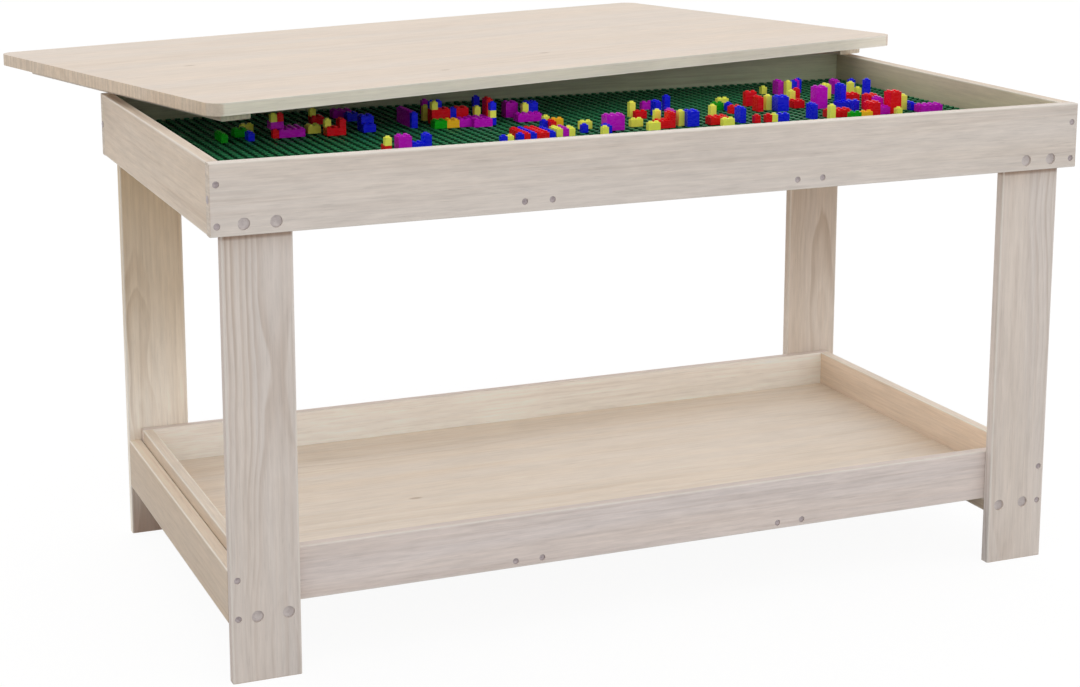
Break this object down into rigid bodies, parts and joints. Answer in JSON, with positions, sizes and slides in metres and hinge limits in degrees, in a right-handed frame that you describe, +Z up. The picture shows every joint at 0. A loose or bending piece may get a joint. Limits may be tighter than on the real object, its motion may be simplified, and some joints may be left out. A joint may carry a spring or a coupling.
{
  "type": "children's play table",
  "caption": "Plank-legged play table with a studded building well, a loose lid and a storage tray near the floor.",
  "frame": {"origin": "centre of the top frame's outline, projected onto the floor the legs stand on; the lid lies partly beside the frame, so this is not the centre of the whole box", "axes": "+X along the long side to the right as seen from the front, +Y from the front to the back, +Z up"},
  "size_m": [1.1782, 1.0419, 0.5885],
  "materials": {
    "washed_wood": "white-washed pine, matt",
    "lid_wood": "white-washed pine, matt",
    "tray_floor_wood": "white-washed pine, matt",
    "plate_green": "satin",
    "painted_fastener": "washed over with the wood",
    "brick_red": "gloss",
    "brick_blue": "gloss",
    "brick_yellow": "gloss",
    "brick_purple": "gloss",
    "brick_green": "gloss",
    "brick_amber": "gloss"
  },
  "bodies": {
    "table": {"frame_front_board": "washed_wood", "frame_back_board": "washed_wood", "frame_left_board": "washed_wood", "frame_right_board": "washed_wood", "base_board": "washed_wood", "base_bearer_left": "washed_wood", "base_bearer_right": "washed_wood", "base_support_left": "washed_wood", "base_support_right": "washed_wood", "stud_plate_1": "plate_green", "stud_plate_2": "plate_green", "stud_plate_3": "plate_green", "stud_plate_4": "plate_green", "stud_plate_5": "plate_green", "stud_plate_6": "plate_green", "stud_plate_7": "plate_green", "stud_plate_8": "plate_green", "leg_front_left": "washed_wood", "leg_front_right": "washed_wood", "leg_back_left": "washed_wood", "leg_back_right": "washed_wood", "side_rail_left": "washed_wood", "side_rail_right": "washed_wood", "tray_support_left": "washed_wood", "tray_support_right": "washed_wood", "tray_front_board": "washed_wood", "tray_back_board": "washed_wood", "tray_left_board": "washed_wood", "tray_right_board": "washed_wood", "tray_floor": "tray_floor_wood", "tray_bearer_left": "washed_wood", "tray_bearer_right": "washed_wood", "frame_corner_screws": "painted_fastener", "frame_end_screws": "painted_fastener", "base_bearer_screws": "painted_fastener", "base_board_screws": "painted_fastener", "frame_leg_bolts": "painted_fastener", "tray_leg_bolts": "painted_fastener", "rail_screws": "painted_fastener", "tray_corner_screws": "painted_fastener", "tray_bearer_screws": "painted_fastener", "tray_seat_screws": "painted_fastener", "bricks_red": "brick_red", "bricks_blue": "brick_blue", "bricks_yellow": "brick_yellow", "bricks_purple": "brick_purple", "bricks_green": "brick_green", "bricks_amber": "brick_amber", "bricks_red_upper": "brick_red", "bricks_blue_upper": "brick_blue", "bricks_yellow_upper": "brick_yellow", "bricks_purple_upper": "brick_purple"},
    "lid": {"lid_panel": "lid_wood", "lid_cleat_left": "washed_wood", "lid_cleat_right": "washed_wood", "lid_cleat_screws": "painted_fastener"}
  },
  "joints": [
    {"name": "lid_lift", "type": "slide", "parent": "table", "child": "lid", "axis": [0, 0, 1], "range_m": [0, 0.3]}
  ]
}
